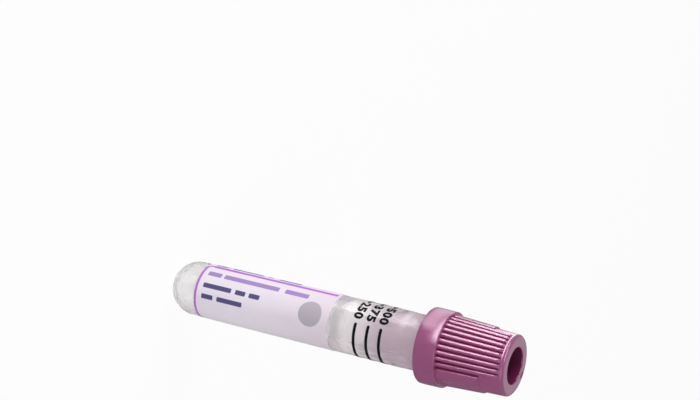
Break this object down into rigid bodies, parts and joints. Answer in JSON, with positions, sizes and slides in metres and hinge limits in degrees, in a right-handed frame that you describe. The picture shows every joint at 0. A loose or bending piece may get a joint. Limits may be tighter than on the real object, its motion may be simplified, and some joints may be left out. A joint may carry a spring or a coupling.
{
  "type": "blood collection tube",
  "caption": "Small false-bottomed blood collection tube with a scoop collector in its mouth, a wrap label and a fluted pull-off cap holding a soft stopper.",
  "frame": {"origin": "centre of the tube's open end ring, on the plane it stands on", "axes": "+Z along the tube's axis, from the end ring to the cap; the front view looks along +Y"},
  "size_m": [0.0168, 0.0168, 0.0854],
  "materials": {
    "tube": "clear polypropylene, faintly milky",
    "collector": "frosted polypropylene",
    "label": "thin printed film, translucent white",
    "cap": "mauve moulded plastic, satin gloss",
    "stopper": "soft magenta elastomer"
  },
  "bodies": {
    "tube": {"tube": "tube", "collector": "collector", "label": "label"},
    "cap": {"cap": "cap", "stopper": "stopper"}
  },
  "joints": [
    {"name": "cap_slide", "type": "slide", "parent": "tube", "child": "cap", "axis": [0, 0, 1], "range_m": [0, 0.03]}
  ]
}
